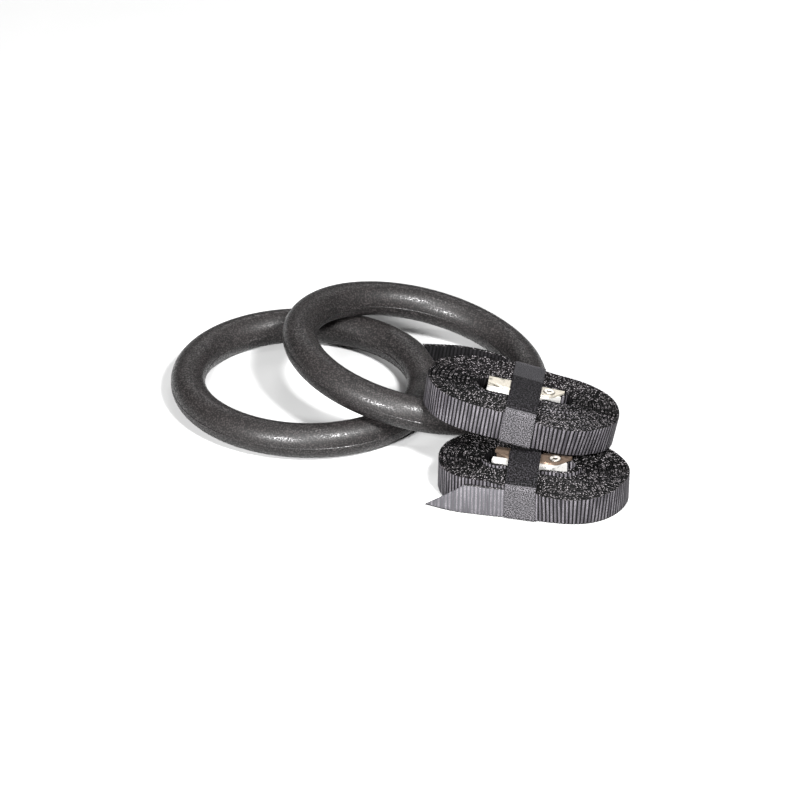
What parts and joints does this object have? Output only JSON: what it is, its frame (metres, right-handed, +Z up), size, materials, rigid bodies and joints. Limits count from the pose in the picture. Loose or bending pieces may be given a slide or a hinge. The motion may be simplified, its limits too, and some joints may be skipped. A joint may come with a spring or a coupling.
{
  "type": "gymnastics rings",
  "caption": "Hollow moulded gymnastics rings with their rolled webbing straps, a cam buckle in each roll's eye and a fabric tie round each roll.",
  "frame": {"origin": "centre of the group's bounding box, on the floor", "axes": "+X along the longest side of the group, from the left ring towards the rolls; +Y away from the viewer; +Z up"},
  "size_m": [0.3986, 0.343, 0.082],
  "materials": {
    "ring_plastic": "fine-grained moulded plastic, satin",
    "webbing": "ribbed woven polyester webbing",
    "tie_fabric": "brushed hook-and-loop fabric",
    "buckle_metal": "zinc-plated stamped steel",
    "cast_metal": "zinc-plated cast metal",
    "spring_wire": "bright spring wire"
  },
  "bodies": {
    "ring_left": {"ring_left_upper_shell": "ring_plastic", "ring_left_lower_shell": "ring_plastic"},
    "ring_right": {"ring_right_upper_shell": "ring_plastic", "ring_right_lower_shell": "ring_plastic"},
    "strap_lower": {"webbing_roll_lower": "webbing", "webbing_tail_lower": "webbing", "webbing_buckle_end_lower": "webbing", "buckle_frame_lower": "buckle_metal", "cam_pin_lower": "buckle_metal", "cam_spring_lower": "spring_wire", "tie_band_lower": "tie_fabric", "tie_tab_lower": "tie_fabric"},
    "lever_lower": {"cam_lever_lower": "cast_metal"},
    "strap_upper": {"webbing_roll_upper": "webbing", "webbing_tail_upper": "webbing", "webbing_buckle_end_upper": "webbing", "buckle_frame_upper": "buckle_metal", "cam_pin_upper": "buckle_metal", "cam_spring_upper": "spring_wire", "tie_band_upper": "tie_fabric", "tie_tab_upper": "tie_fabric"},
    "lever_upper": {"cam_lever_upper": "cast_metal"}
  },
  "joints": [
    {"name": "ring_right_lift", "type": "slide", "parent": "ring_left", "child": "ring_right", "axis": [0, 0, 1], "range_m": [0, 0.15]},
    {"name": "strap_upper_lift", "type": "slide", "parent": "ring_right", "child": "strap_upper", "axis": [0, 0, 1], "range_m": [0, 0.15]},
    {"name": "strap_lower_pull", "type": "slide", "parent": "ring_left", "child": "strap_lower", "axis": [0, -0.9986, 0.0523], "range_m": [0, 0.15]},
    {"name": "lever_upper_press", "type": "hinge", "parent": "strap_upper", "child": "lever_upper", "pos_m": [0.12595, -0.06214, 0.05235], "axis": [-0.1562, -0.0593, -0.9859], "range_deg": [0, 13], "stiffness_Nm_per_rad": 0.05, "springref_deg": -22.92},
    {"name": "lever_lower_press", "type": "hinge", "parent": "strap_lower", "child": "lever_lower", "pos_m": [0.13445, -0.11804, 0.0184], "axis": [0, 0, -1], "range_deg": [0, 13], "stiffness_Nm_per_rad": 0.05, "springref_deg": -22.92}
  ]
}
